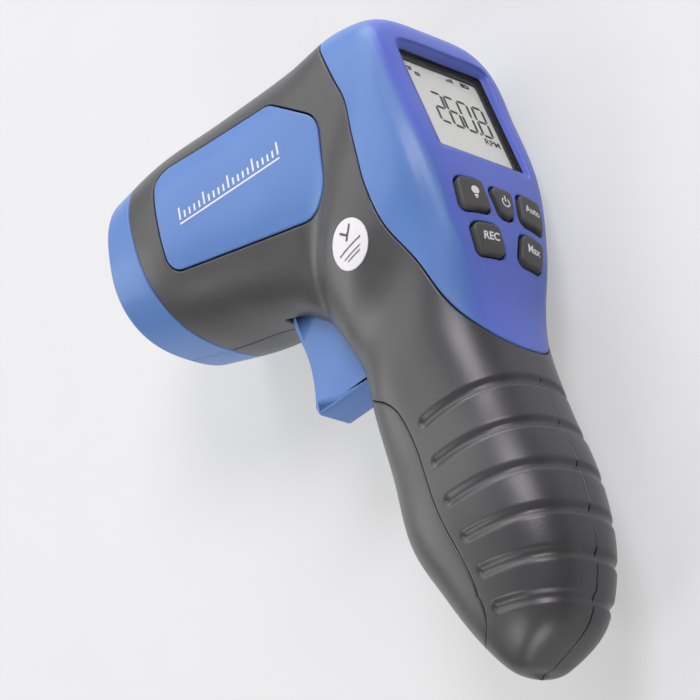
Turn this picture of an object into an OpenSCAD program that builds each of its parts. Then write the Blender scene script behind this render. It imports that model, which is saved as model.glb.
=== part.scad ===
// Hand-held laser tachometer: a pistol-grip case in two moulded halves with a nose ring,
// a rear bezel for the display and keys, a hinged trigger and a hinged battery door.
// X runs from the nose to the back, Y from the grip to the barrel, Z from the right half
// to the left half. The part lies on its right side, so Z points up.

/* [Barrel] */
// nose front ahead of the case origin
nose_reach = 64; // [60:0.5:68]
// nose edge above the barrel axis
nose_top = 24; // [22:0.5:25.5]
// nose edge below the barrel axis
nose_low = 22.5; // [21:0.5:25]
// width of the nose edge
nose_w = 47.5; // [45:0.5:50]
// length over which the nose swells to the full barrel
nose_len = 19; // [15:0.5:22]
// barrel above its axis
barrel_top = 27; // [25:0.1:29]
// barrel below its axis
barrel_low = 27.6; // [25:0.1:30]
// width of the barrel
barrel_w = 51.5; // [48:0.5:55]
// length of the nose ring on the barrel axis
ring_len = 12; // [10:0.5:15]
// lean of the nose ring's rear edge
ring_lean = 9; // [0:1:15]

/* [Head] */
// top of the head above the barrel axis
head_top = 27.4; // [26:0.1:30]
// widest across the head
head_w = 49.8; // [48:0.2:54]
// middle of the display face behind the case origin
face_x = 41.6; // [39:0.1:44]
// middle of the display face above the barrel axis
face_y = 1.2; // [-1:0.1:3]
// lean of the display face
face_lean = 15; // [11:1:19]

/* [Grip] */
// end of the grip below the barrel axis
grip_len = 151; // [145:0.5:160]
// where the grip starts below the barrel axis
grip_top = 62; // [60:0.5:64]
// depth of the grip from front to back
grip_depth = 46.5; // [44:0.5:52]
// width of the grip
grip_w = 38; // [37:0.5:42]
// depth of the finger grooves
groove_depth = 0.8; // [0.5:0.1:1.4]
// radius of the finger grooves
groove_r = 1.9; // [1.5:0.1:3]

/* [Mouldings] */
// wall of the two case halves
wall = 2.2; // [1.8:0.1:2.6]
// wall of the rear bezel
bezel_wall = 2.4; // [2:0.1:2.8]
// depth of the pockets for the side labels
label_depth = 1.2; // [0.8:0.1:1.5]
// corner radius of the side labels towards the nose
label_r = 5; // [3:0.5:6]
// radius where the top edge of the side labels turns down
label_top_r = 6; // [4:0.5:8]
// upper corner radius of the side labels towards the head
label_far_r = 8; // [6:0.5:9]
// lower corner radius of the side labels towards the head
label_low_r = 9; // [6:0.5:10]
// groove left around a side label
label_gap = 0.4; // [0.3:0.05:0.8]
// radius of the round inspection sticker
sticker_r = 6.3; // [4:0.1:8]
// thickness of the round inspection sticker
sticker_t = 0.3; // [0.2:0.05:0.5]

/* [Display] */
// width of the window opening
view_w = 28.6; // [27:0.2:30]
// height of the window opening
view_h = 33; // [30:0.2:34]
// middle of the window opening above the middle of the face
view_y = -4.2; // [-5:0.1:-3]
// bevel around the window opening
view_bevel = 1.7; // [1:0.1:2]
// depth of the bevel, from the face to the window
view_sink = 1.5; // [1.3:0.1:2]
// thickness of the clear window
window_t = 1; // [0.8:0.1:1.5]
// width of the visible display
lcd_w = 26; // [24:0.2:27]
// height of the visible display
lcd_h = 29.2; // [27:0.2:31]
// thickness of the black frame between window and display
frame_t = 0.5; // [0.4:0.1:1]
// thickness of the display glass
lcd_t = 2.8; // [2:0.1:3]
// thickness of the backlight
light_t = 6.1; // [5.9:0.1:8]
// thickness of the circuit boards
board_t = 1.6; // [1:0.1:2]

/* [Keys] */
// how far the key tops stand out of the bezel
key_proud = 1.1; // [0.6:0.1:1.6]
// gap around a key
key_gap = 0.35; // [0.3:0.05:0.6]
// corner radius of a key
key_r = 1.6; // [1:0.1:2]
// travel of a key
key_travel = 0.5; // [0.3:0.05:0.6]
// radius of the plunger under a key
plunger_r = 2; // [1.5:0.1:2.2]

/* [Trigger] */
// width of the trigger
trigger_w = 11; // [9:0.5:13]
// bevel along the trigger's edges
trigger_bevel = 0.8; // [0.4:0.1:1.2]
// gap on each side of the trigger
trigger_gap = 0.4; // [0.3:0.05:0.7]
// radius of the trigger's pivot pin
pin_r = 1.25; // [1:0.05:1.5]
// length of the trigger's pivot pin
pin_len = 21.6; // [20:0.2:26]
// radius of the spring coil
coil_r = 2.6; // [2:0.1:3]
// radius of the spring wire
coil_wire = 0.35; // [0.25:0.05:0.5]
// length of the spring at rest
coil_len = 10; // [8:0.5:12]

/* [Battery] */
// width of the battery
cell_w = 26.5; // [25.5:0.1:26.7]
// depth of the battery
cell_d = 17.5; // [15.5:0.1:17.7]
// height of the battery without its terminals
cell_h = 46; // [44:0.1:46.6]
// wall of the battery tray
tray_t = 2; // [1.5:0.1:2.5]
// gap around the battery door
door_gap = 0.35; // [0.3:0.05:0.6]
// radius of the door's knuckle
knuckle_r = 2.8; // [2.4:0.1:3.2]
// radius of the door's hinge stubs
stub_r = 1.2; // [0.9:0.05:1.4]
// opening angle the door's lower end leaves room for
door_swing = 50; // [30:1:60]

/* [Optics] */
// radius of the recess in the nose
recess_r = 18.5; // [17:0.1:19]
// depth of the recess in front of the optics plate
recess_d = 3; // [2:0.1:4]
// radius of the optics plate
plate_r = 17.5; // [16.5:0.1:17.8]
// thickness of the optics plate
plate_t = 2; // [1.5:0.1:3]
// radius of the receiver lens
lens_r = 8.75; // [7:0.05:9.3]
// outer radius of the lens tube
tube_r = 10; // [9.6:0.1:10.2]
// length of the lens tube
tube_len = 29.5; // [26:0.5:34]
// radius of the laser module
laser_r = 3.5; // [3:0.1:3.6]
// length of the laser module
laser_len = 24.5; // [22:0.5:28]

/* [Screws] */
// radius of the case screw shank
screw_r = 1.2; // [1:0.05:1.3]
// radius of the case screw head
screw_head_r = 2.5; // [2:0.1:2.7]
// how deep the case screw heads seat below the surface
screw_sink = 4.5; // [3:0.1:6]
// radius of the board screw shank
tap_r = 0.9; // [0.7:0.05:1]

/* [Hidden] */
$fn = 48;
far = 90;
run_gap = 0.05;
rest_gap = 0.3;
ring_n = 24;
ring_step = 0.5;

// height of the nose's middle, the receiver lens and the laser
nose_mid = (nose_top - nose_low)/2;
lens_y = nose_mid + 3.5;
laser_y = nose_mid - 11;
plate_x = -nose_reach + recess_d;
tube_x = plate_x + plate_t;
lens_seat = 5;
lens_lip = 0.75;
collar_t = 0.9;
collar_len = 6;
beam_r = 2.2;
sensor_r = 3.4;
sensor_h = 4;
sensor_rim = 0.6;
sensor_rim_h = 0.8;
sensor_board_w = 24;

// a point of the display face, at a distance up the face from its middle
function face_at(d) = [face_x - d*sin(face_lean), face_y + d*cos(face_lean)];
// height of the grip at a share of its length, and half its depth and width
function grip_y(f) = -grip_top - f*(grip_len - grip_top);
function grip_row(mid, depth, f_in, f_out, width, fullness) =
    [mid - depth*grip_depth/2, grip_y(f_in), mid + depth*grip_depth/2, grip_y(f_out),
     width*grip_w/2, 0.5, fullness, fullness];

// sections of the case from the nose to the end of the grip: belly point x, y, back point x, y,
// half width, share of the section that lies on the belly side of the widest place, and the
// squareness of the belly side and the back side
stations = [
    [-nose_reach, -nose_low, -nose_reach, nose_top, nose_w/2, 0.5, 2.5, 2.5],
    [nose_len - nose_reach, -barrel_low, nose_len - nose_reach, barrel_top,
     barrel_w/2, 0.5, 2.5, 2.5],
    [-28, -31, -22, head_top, barrel_w/2 - 0.75, 0.5, 2.5, 2.6],
    [-15, -35.2, 4.5, head_top, barrel_w/2 - 1.75, 0.52, 2.5, 3],
    [-8, -40, 23, head_top - 0.2, head_w/2 - 1.4, 0.56, 2.4, 4],
    [-5, -44, face_at(20.4)[0], face_at(20.4)[1], head_w/2 - 1.5, 0.6, 2.2, 4.6],
    [-2, -49, face_x, face_y, head_w/2, 0.6, 2.2, 4.6],
    [1.5, -56, face_at(-20.4)[0], face_at(-20.4)[1], head_w/2 - 1, 0.58, 2.2, 4.2],
    [4, -65, 49.4, -40, (head_w/2 + grip_w/2)/2 - 1.45, 0.55, 2.2, 3.2],
    grip_row(27.2, 0.895, 0.18, 0, 1.035, 2.45),
    grip_row(29.85, 0.955, 0.348, 0.25, 0.985, 2.35),
    grip_row(33.5, 1.028, 0.545, 0.492, 1, 2.35),
    grip_row(37.15, 0.918, 0.7, 0.72, 0.88, 2.35),
    grip_row(38, 0.65, 0.85, 0.904, 0.68, 2.3),
    grip_row(35.7, 0.25, 0.96, 0.98, 0.4, 2.2),
    grip_row(35.8, 0.03, 0.9975, 0.99, 0.06, 2)
];
last = len(stations) - 1;
shell_end = last - 1.5;

// smooth curve through the rows of a list
function knot(p, i) =
    i < 0 ? 2*p[0] - p[1] : i >= len(p) ? 2*p[len(p) - 1] - p[len(p) - 2] : p[i];
function blend(a, b, c, d, t) =
    0.5*(2*b + (c - a)*t + (2*a - 5*b + 4*c - d)*t*t + (3*b - a - 3*c + d)*t*t*t);
function along(p, s) = let (i = min(floor(s), len(p) - 2))
    blend(knot(p, i - 1), knot(p, i), knot(p, i + 1), knot(p, i + 2), s - i);
function curve(p, n) = [for (k = [0 : n*(len(p) - 1)]) along(p, k/n)];

// point of the side view at section s and share t from belly to back
function at(s, t) = let (r = along(stations, s)) [r[0] + t*(r[2] - r[0]), r[1] + t*(r[3] - r[1])];
// half width of the case there
function side_z(s, t) = let (
    r = along(stations, s),
    a = t > r[5] ? (t - r[5])/(1 - r[5]) : (r[5] - t)/r[5],
    e = t > r[5] ? r[7] : r[6])
    r[4]*pow(max(0, 1 - pow(a, e)), 1/e);
// outline of the section at s, moved in by a distance
function ring(s, in) = let (
    r = along(stations, s),
    p = [r[0], r[1]],
    q = [r[2], r[3]],
    u = (q - p)/norm(q - p),
    a = p + in*u,
    b = q - in*u)
    [for (k = [0 : ring_n - 1]) let (
        c = cos(360*k/ring_n),
        d = sin(360*k/ring_n),
        e = c >= 0 ? r[7] : r[6],
        m = r[5] + (c >= 0 ? 1 - r[5] : -r[5])*pow(abs(c), 2/e),
        o = a + m*(b - a))
        [o[0], o[1], (r[4] - in)*sign(d)*pow(abs(d), 2/e)]];

// the case form between two sections, moved in by a distance
module form(in, from, to) {
    n = floor((to - from)/ring_step);
    points = [for (i = [0 : n]) each ring(from + i*ring_step, in)];
    sides = [for (i = [0 : n - 1]) for (k = [0 : ring_n - 1]) let (
        a = i*ring_n + k,
        b = i*ring_n + (k + 1)%ring_n,
        c = b + ring_n,
        d = a + ring_n)
        each [[a, d, c], [a, c, b]]];
    polyhedron(points, concat([[for (k = [0 : ring_n - 1]) k]], sides,
        [[for (k = [0 : ring_n - 1]) n*ring_n + ring_n - 1 - k]]));
}

// where the part's frame lies: middle of the box in X and Y, lowest side at Z = 0
rows = [for (k = [0 : last/ring_step]) along(stations, k*ring_step)];
x_back = max([for (r = rows) r[2]]);
y_top = max([for (r = rows) r[3]]);
y_low = min([for (r = rows) min(r[1], r[3])]);
half_w = max([for (r = rows) r[4]]);
module place() {
    translate([(nose_reach - x_back)/2, -(y_top + y_low)/2, half_w]) children();
}

// a side-view outline through the whole width
module through(p) {
    translate([0, 0, -far]) linear_extrude(2*far) polygon(p);
}
// rounded slab between two heights over a convex outline given counter-clockwise
function pulled(p, r) = [for (i = [0 : len(p) - 1]) let (
    a = p[(i + len(p) - 1)%len(p)],
    b = p[i],
    c = p[(i + 1)%len(p)],
    u = (b - a)/norm(b - a),
    v = (c - b)/norm(c - b),
    m = [-u[1], u[0]],
    n = [-v[1], v[0]])
    b + r*(m + n)/(1 + m*n)];
module slab(p, r, more, low, high) {
    hull() for (c = pulled(p, r)) translate([c[0], c[1], low])
        cylinder(r = r + more, h = high - low, $fn = 32);
}
function box_of(w, h) = [[-w/2, -h/2], [w/2, -h/2], [w/2, h/2], [-w/2, h/2]];
// display face frame: X to the right half, Y up the face, Z out of it
module on_face() {
    translate([face_x, face_y, 0]) rotate([0, 0, face_lean]) rotate([0, 90, 0]) children();
}
module at_side(s, t) {
    translate([at(s, t)[0], at(s, t)[1], 0]) children();
}

// seams
ring_x = ring_len - nose_reach;
ring_fall = far*tan(ring_lean);
ring_region = [[-far, far], [ring_x - ring_fall, far], [ring_x + ring_fall, -far], [-far, -far]];
bezel_seam = [[3.3, 1.1], [3.72, 0.94], [4.03, 0.86], [4.66, 0.75], [5.38, 0.7], [5.96, 0.68],
    [6.53, 0.64], [7.12, 0.63], [7.68, 0.67], [8.63, 0.81], [9.36, 0.965], [9.75, 1.07]];
bezel_region = concat([for (q = curve(bezel_seam, 2)) at(q[0], q[1])], [[far, -far], [far, far]]);

// door: seam, hinge point, outward direction there, and radius its lower end turns in
door_seam = [[8.0, -0.12], [8.2, -0.01], [8.84, 0.15], [9.24, 0.28], [9.55, 0.35], [9.96, 0.385],
    [10.47, 0.4], [11.5, 0.4], [12.2, 0.4], [12.45, 0.385], [12.62, 0.33]];
hinge_depth = 5.5;
hinge_run = at(13.05, 0) - at(12.95, 0);
hinge_out = [hinge_run[1], -hinge_run[0]]/norm(hinge_run);
hinge = at(13, 0) - hinge_depth*hinge_out;
door_turn = hinge_depth/cos(door_swing/2) + rest_gap;
door_edge = concat([for (q = curve(door_seam, 2)) at(q[0], q[1])],
    [hinge, hinge + 3*hinge_depth*hinge_out, [-nose_reach, hinge[1] - hinge_depth],
     [-nose_reach, -grip_top]]);
knuckle_w = 12;
ear_w = 2.5;
module door_area(gap) {
    translate([0, 0, -far]) linear_extrude(2*far) union() {
        offset(delta = gap) polygon(door_edge);
        translate(hinge) circle(r = door_turn + gap - door_gap);
    }
}

// trigger: pivot and side outline
pivot = [-13, -28.5];
spring_y = -51.7;
spring_x = 3.2;
trigger_edge = [[-20.3, -34], [-18.7, -39], [-16.9, -44.6], [-16.1, -50], [-16.2, -55.7],
    [-16.8, -59.2], [-15.7, -61.6], [-6, -61], [5.6, -60], [spring_x, -55.5], [spring_x, -48],
    [1, -44], [-4, -37], [-9.3, -30.4], [-9.6, -26.8], [-11.6, -24.9], [-14.4, -24.9],
    [-16.4, -26.8], [-18.8, -30.5]];
// room the trigger and its spring need in the case
trigger_slot = [[-21.6, -66], [-21.6, -24], [-7, -24], [-7, -29.5], [4.6, -42], [8, -46],
    [11, -47.5], [11, -59.2], [2, -61.4], [-8, -66]];
rib_t = 2.2;
rib_w = 12;
tube_rib = 20;
boss_r = 3;
post_r = 1.6;

// trigger switch: its face towards the trigger, and its size
switch_at = [1.7, -38.2];
switch_turn = 35.6;
switch_h = 6.5;
switch_l = 12.8;
switch_w = 5.8;
switch_post = 4;
plunger_out = 1.2;

// screws as section and share of the side view
case_screw_at = [[2.82, 0.64], [2.33, 0.32], [8.15, 0.41], [10.8, 0.825], [12.5, 0.68]];
screw_reach = 8;
screw_head_h = 2;

// labels and sticker on the barrel's sides: corners of a label as section, share and radius
label_at = [[1.35, 0.699, label_r], [2.92, 0.695, label_top_r], [3.83, 0.557, label_far_r],
    [4.08, 0.407, label_low_r], [1.45, 0.336, label_r]];
module label_area(more) {
    hull() for (q = label_at) at_side(q[0], q[1]) cylinder(r = q[2] + more, h = far);
}
sticker_at = [6.74, 0.43];

// display stack below the face, and the key field
window_z = -view_sink;
frame_z = window_z - window_t;
lcd_z = frame_z - frame_t;
light_z = lcd_z - lcd_t;
board_z = light_z - light_t;
frame_w = view_w + 2.4;
frame_h = view_h + 2.4;
window_w = frame_w + 0.6;
window_h = frame_h + 0.6;
window_r = 1.5;
lamp_edge = [[-13.4, -39.4], [-5.3, -39.4], [-6.4, -31], [-14, -31]];
power_edge = [[-1.8, -39.5], [1.8, -39.5], [3.7, -31.6], [-3.7, -31.6]];
record_edge = [[-10.2, -50.3], [-2.4, -50.3], [-4.1, -42.9], [-11.9, -42.9]];
mat_t = 0.6;
flange_t = 0.6;
flange_more = 0.5;
plunger_z = board_z + rest_gap + key_travel;
flange_z = board_z + mat_t + rest_gap + key_travel;
board_screw_at = [[-13, 21.5], [13, 21.5], [15, -26], [-15, -26]];
board_boss_r = 2.2;
board_edge = [[-11, -52.5], [11, -52.5], [19.5, -22], [17, 23.5], [-17, 23.5], [-19.5, -22]];
board_r = 2;
function middle(p) = [for (i = [0, 1]) (p[0][i] + p[1][i] + p[2][i] + p[3][i])/4];

// battery: its middle in the side view, and the lean of the grip there
cell_at = at(10.57, 0.495);
grip_run = at(10, 0.5) - at(12, 0.5);
module on_cell() {
    translate([cell_at[0], cell_at[1], 0]) rotate([0, 0, atan2(grip_run[1], grip_run[0]) - 90])
        children();
}
terminal_gap = 12.7;
terminal_h = 2.8;
small_terminal = 2.9;
large_terminal = 3.9;
snap_h = 5;
snap_d = 12;

// finger groove around the back of the grip at section s: a ball swept along the section
module groove(s, from) {
    path = ring(s, groove_depth - groove_r);
    for (k = [0 : from - 1]) hull() {
        translate(path[k]) sphere(r = groove_r, $fn = 8);
        translate(path[k + 1]) sphere(r = groove_r, $fn = 8);
    }
}
// ribs, bosses and hinge ears inside one half, drawn on the left
module shell_inside() {
    for (q = case_screw_at) at_side(q[0], q[1]) cylinder(r = boss_r, h = far, $fn = 24);
    translate([pivot[0], pivot[1], trigger_w/2 + trigger_gap]) cylinder(r = boss_r, h = far, $fn = 24);
    translate([spring_x + coil_len, spring_y - rib_w/2, 0]) cube([rib_t, rib_w, far]);
    translate([tube_x + tube_rib, -far, 0]) cube([rib_t, 2*far, far]);
    translate([switch_at[0], switch_at[1], switch_w/2]) rotate([0, 0, switch_turn])
        for (d = [-switch_post, switch_post]) translate([switch_h/2, d, 0])
            cylinder(r = post_r, h = far, $fn = 16);
    translate([0, 0, knuckle_w/2 + rest_gap]) {
        hull() {
            translate(hinge) cylinder(r = stub_r + 1.2, h = ear_w, $fn = 24);
            at_side(13.15, 0.45) cylinder(r = 2, h = ear_w, $fn = 16);
        }
        hull() {
            at_side(13.15, 0.45) cylinder(r = 2, h = ear_w, $fn = 16);
            at_side(14.2, 0.5) cylinder(r = 2, h = ear_w, $fn = 16);
        }
    }
}
// one case half, drawn on the left; heads says whether the screw heads sit in it
module shell(heads) {
    difference() {
        union() {
            difference() {
                form(0, 0, last);
                form(wall, 0, shell_end);
            }
            intersection() {
                form(wall/2, 0, shell_end + 1);
                shell_inside();
            }
        }
        translate([-far*2, -far*2, -far]) cube([far*4, far*4, far]);
        through(ring_region);
        through(bezel_region);
        door_area(door_gap);
        translate([0, 0, -far]) linear_extrude(far + trigger_w/2 + trigger_gap) polygon(trigger_slot);
        difference() {
            label_area(label_gap);
            form(label_depth, 0.5, 6);
        }
        for (i = [0 : 5]) groove(9.93 + 0.56*i, 6);
        translate([tube_x, lens_y, 0]) rotate([0, 90, 0]) cylinder(r = tube_r + run_gap, h = tube_len);
        translate([tube_x, laser_y, 0]) rotate([0, 90, 0])
            cylinder(r = laser_r + run_gap, h = laser_len, $fn = 32);
        translate([pivot[0], pivot[1], 0])
            cylinder(r = pin_r + run_gap, h = pin_len/2 + run_gap, $fn = 32);
        translate([hinge[0], hinge[1], 0])
            cylinder(r = stub_r + 2*run_gap, h = knuckle_w/2 + rest_gap + ear_w, $fn = 32);
        for (q = case_screw_at) at_side(q[0], q[1]) {
            cylinder(r = screw_r + (heads ? rest_gap : run_gap), h = heads ? far : screw_reach + 1,
                $fn = 24);
            if (heads) translate([0, 0, side_z(q[0], q[1]) - screw_sink])
                cylinder(r = screw_head_r + rest_gap, h = far, $fn = 24);
        }
    }
}
module left_shell() {
    color([0.22, 0.22, 0.23]) place() shell(false);
}
module right_shell() {
    color([0.22, 0.22, 0.23]) place() mirror([0, 0, 1]) shell(true);
}

// painted ring around the nose, bored for the optics plate
module nose_ring() {
    color([0.2, 0.35, 0.75]) place() difference() {
        intersection() {
            form(0, 0, 2);
            through(ring_region);
        }
        intersection() {
            form(wall, 0, 2);
            translate([tube_x + 1, -far, -far]) cube(2*far);
        }
        translate([-nose_reach - 1, nose_mid, 0]) rotate([0, 90, 0]) {
            cylinder(r = recess_r, h = recess_d + 1);
            cylinder(r = plate_r + run_gap, h = recess_d + plate_t + 1);
            cylinder(r = plate_r - 1, h = far);
        }
    }
}
// black plate behind the nose opening, with a collar for the laser
module front_plate() {
    color([0.08, 0.08, 0.09]) place() translate([plate_x, 0, 0]) rotate([0, 90, 0]) difference() {
        union() {
            translate([0, nose_mid, 0]) cylinder(r = plate_r, h = plate_t);
            translate([0, laser_y, 0]) cylinder(r = laser_r + collar_t, h = plate_t + collar_len);
        }
        translate([0, lens_y, -1]) cylinder(r = lens_r - lens_lip, h = plate_t + 2);
        translate([0, laser_y, -1]) cylinder(r = beam_r, h = plate_t + 2);
        translate([0, laser_y, plate_t]) cylinder(r = laser_r + run_gap, h = collar_len + 1);
    }
}
// domed receiver lens
module receiver_lens() {
    dome = 14;
    color([0.75, 0.85, 0.9]) place() translate([tube_x, lens_y, 0]) rotate([0, 90, 0]) intersection() {
        cylinder(r = lens_r, h = lens_seat);
        translate([0, 0, lens_seat - dome]) sphere(r = dome);
    }
}
// black tube from the lens to the sensor
module lens_tube() {
    color([0.1, 0.1, 0.1]) place() translate([tube_x, lens_y, 0]) rotate([0, 90, 0]) difference() {
        cylinder(r = tube_r, h = tube_len);
        translate([0, 0, -1]) cylinder(r = lens_r + run_gap, h = lens_seat + 1);
        translate([0, 0, -1]) cylinder(r = lens_r - 1, h = tube_len + 2);
    }
}
// light sensor can on its board
module photo_sensor() {
    color([0.6, 0.6, 0.62]) place() translate([tube_x + tube_len - sensor_h, lens_y, 0])
        rotate([0, 90, 0]) {
            cylinder(r = sensor_r, h = sensor_h);
            translate([0, 0, sensor_h - sensor_rim_h])
                cylinder(r = sensor_r + sensor_rim, h = sensor_rim_h);
        }
}
module sensor_board() {
    color([0.1, 0.4, 0.2]) place()
        translate([tube_x + tube_len, lens_y - sensor_board_w/2, -sensor_board_w/2])
            cube([board_t, sensor_board_w, sensor_board_w]);
}
// laser module in the plate's collar
module laser_module() {
    color([0.75, 0.6, 0.3]) place() translate([tube_x, laser_y, 0]) rotate([0, 90, 0]) difference() {
        cylinder(r = laser_r, h = laser_len);
        translate([0, 0, -1]) cylinder(r = laser_r - 2, h = 3);
    }
}

// display and key bezel at the back of the head
module rear_bezel() {
    color([0.2, 0.35, 0.75]) place() difference() {
        union() {
            intersection() {
                difference() {
                    form(0, 2, last - 4);
                    form(bezel_wall, 2, last - 4);
                }
                through(bezel_region);
            }
            intersection() {
                form(bezel_wall/2, 3, 9);
                through(bezel_region);
                on_face() {
                    translate([0, view_y, 0])
                        slab(box_of(frame_w + 4, frame_h + 4), 3, 0, window_z, far);
                    for (q = board_screw_at) translate([q[0], q[1], board_z])
                        cylinder(r = board_boss_r, h = far, $fn = 24);
                }
            }
        }
        on_face() {
            translate([0, view_y, 0]) {
                hull() {
                    slab(box_of(view_w, view_h), 2, 0, window_z - 0.1, window_z);
                    slab(box_of(view_w + 2*view_bevel, view_h + 2*view_bevel), 2.5, 0, 0, 0.1);
                }
                slab(box_of(window_w, window_h), window_r, run_gap, light_z, window_z);
                slab(box_of(view_w + 2*view_bevel, view_h + 2*view_bevel), 2.5, 0, 0, far);
            }
            slab(lamp_edge, key_r, key_gap, board_z, far);
            mirror([1, 0, 0]) slab(lamp_edge, key_r, key_gap, board_z, far);
            slab(power_edge, key_r, key_gap, board_z, far);
            slab(record_edge, key_r, key_gap, board_z, far);
            mirror([1, 0, 0]) slab(record_edge, key_r, key_gap, board_z, far);
            for (q = board_screw_at) translate([q[0], q[1], board_z - 1])
                cylinder(r = tap_r + run_gap, h = 5, $fn = 24);
        }
    }
}
module display_window() {
    color([0.8, 0.85, 0.85]) place() on_face() translate([0, view_y, 0])
        slab(box_of(window_w, window_h), window_r, 0, frame_z, window_z);
}
module lcd_frame() {
    color([0.05, 0.05, 0.05]) place() on_face() translate([0, view_y, 0]) difference() {
        slab(box_of(frame_w, frame_h), 1, 0, lcd_z, frame_z);
        slab(box_of(lcd_w, lcd_h), 1, 0, lcd_z - 1, frame_z + 1);
    }
}
module lcd_panel() {
    color([0.78, 0.8, 0.74]) place() on_face()
        translate([-frame_w/2 + 1, view_y - frame_h/2 + 0.7, light_z])
            cube([frame_w - 2, frame_h - 1.4, lcd_t]);
}
module lcd_backlight() {
    color([0.9, 0.9, 0.92]) place() on_face()
        translate([-frame_w/2 + 1, view_y - frame_h/2 + 0.7, board_z])
            cube([frame_w - 2, frame_h - 1.4, light_t]);
}
// main circuit board behind display and keys, its chips on the back, and its screws
module main_board() {
    color([0.1, 0.4, 0.2]) place() on_face() difference() {
        slab(board_edge, board_r, 0, board_z - board_t, board_z);
        for (q = board_screw_at) translate([q[0], q[1], board_z - board_t - 1])
            cylinder(r = tap_r + 0.2, h = board_t + 2);
    }
}
module board_chips() {
    chip_t = 1.6;
    color([0.08, 0.08, 0.08]) place() on_face() translate([0, 0, board_z - board_t - chip_t]) {
        translate([-6, -6, 0]) cube([12, 12, chip_t]);
        translate([-11, -22, 0]) cube([6, 8, chip_t]);
        translate([4, -34, 0]) cube([8, 5, chip_t]);
    }
}
module board_screws() {
    tap_len = 3.6;
    tap_head = 1.2;
    color([0.7, 0.7, 0.72]) place() on_face() for (q = board_screw_at)
        translate([q[0], q[1], board_z - board_t]) {
            cylinder(r = tap_r, h = board_t + tap_len);
            translate([0, 0, -tap_head]) cylinder(r = 2*tap_r, h = tap_head);
        }
}

// rubber keypad: the mat on the board and five key tops
module keypad_mat() {
    color([0.15, 0.15, 0.15]) place() on_face() difference() {
        slab([[-12, -51.5], [12, -51.5], [16, -29], [-16, -29]], 1.5, 0, board_z, board_z + mat_t);
        for (p = [lamp_edge, power_edge, record_edge], m = [0, 1]) mirror([m, 0, 0])
            translate([middle(p)[0], middle(p)[1], board_z - 1])
                cylinder(r = plunger_r + rest_gap, h = mat_t + 2);
    }
}
module key(edge, flip) {
    color([0.25, 0.25, 0.25]) place() union() {
        intersection() {
            form(-key_proud, 6.5, 9.5);
            on_face() mirror([flip, 0, 0]) slab(edge, key_r, 0, flange_z, far);
        }
        on_face() mirror([flip, 0, 0]) {
            slab(edge, key_r, flange_more, flange_z, flange_z + flange_t);
            translate([middle(edge)[0], middle(edge)[1], plunger_z])
                cylinder(r = plunger_r, h = flange_z - plunger_z + flange_t/2);
        }
    }
}
module key_lamp() {
    key(lamp_edge, 0);
}
module key_power() {
    key(power_edge, 0);
}
module key_auto() {
    key(lamp_edge, 1);
}
module key_record() {
    key(record_edge, 0);
}
module key_max() {
    key(record_edge, 1);
}

// trigger: a lever with bevelled edges, bored for its pin
module trigger() {
    n = len(trigger_edge);
    small = pulled(trigger_edge, trigger_bevel);
    levels = [[small, -trigger_w/2], [trigger_edge, trigger_bevel - trigger_w/2],
        [trigger_edge, trigger_w/2 - trigger_bevel], [small, trigger_w/2]];
    color([0.2, 0.35, 0.75]) place() difference() {
        polyhedron(
            [for (l = levels) for (q = l[0]) [q[0], q[1], l[1]]],
            concat([[for (k = [0 : n - 1]) k]],
                [for (i = [0 : 2]) for (k = [0 : n - 1]) let (b = (k + 1)%n)
                    each [[i*n + k, (i + 1)*n + b, i*n + b], [i*n + k, (i + 1)*n + k, (i + 1)*n + b]]],
                [[for (k = [0 : n - 1]) 3*n + n - 1 - k]]));
        translate([pivot[0], pivot[1], -far]) cylinder(r = pin_r + run_gap, h = 2*far);
    }
}
module trigger_pin() {
    color([0.7, 0.7, 0.72]) place() translate([pivot[0], pivot[1], -pin_len/2])
        cylinder(r = pin_r, h = pin_len);
}
// compression spring behind the trigger
module trigger_spring() {
    turns = 5;
    steps = 12;
    sides = 6;
    n = turns*steps;
    points = [for (i = [0 : n]) let (a = 360*i/steps, x = coil_wire + (coil_len - 2*coil_wire)*i/n)
        for (k = [0 : sides - 1]) let (b = 360*k/sides, r = coil_r + coil_wire*cos(b))
            [x + coil_wire*sin(b), r*cos(a), r*sin(a)]];
    color([0.7, 0.7, 0.72]) place() translate([spring_x, spring_y, 0]) polyhedron(points, concat(
        [[for (k = [0 : sides - 1]) sides - 1 - k]],
        [for (i = [0 : n - 1]) for (k = [0 : sides - 1]) let (b = (k + 1)%sides)
            let (a = i*sides + k, c = i*sides + b)
                each [[a, c, c + sides], [a, c + sides, a + sides]]],
        [[for (k = [0 : sides - 1]) n*sides + k]]));
}
module trigger_switch() {
    button = [2, 2, 2.8];
    pin = [4.2, 0.5, 1.2];
    pitch = 5;
    color([0.12, 0.12, 0.13]) place() translate([switch_at[0], switch_at[1], 0])
        rotate([0, 0, switch_turn]) {
            translate([0, -switch_l/2, -switch_w/2]) cube([switch_h, switch_l, switch_w]);
            translate([-plunger_out, -button[1]/2, -button[2]/2]) cube(button);
            for (d = [-pitch, 0, pitch]) translate([switch_h - 1, d - pin[1]/2, -pin[2]/2]) cube(pin);
        }
}

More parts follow.
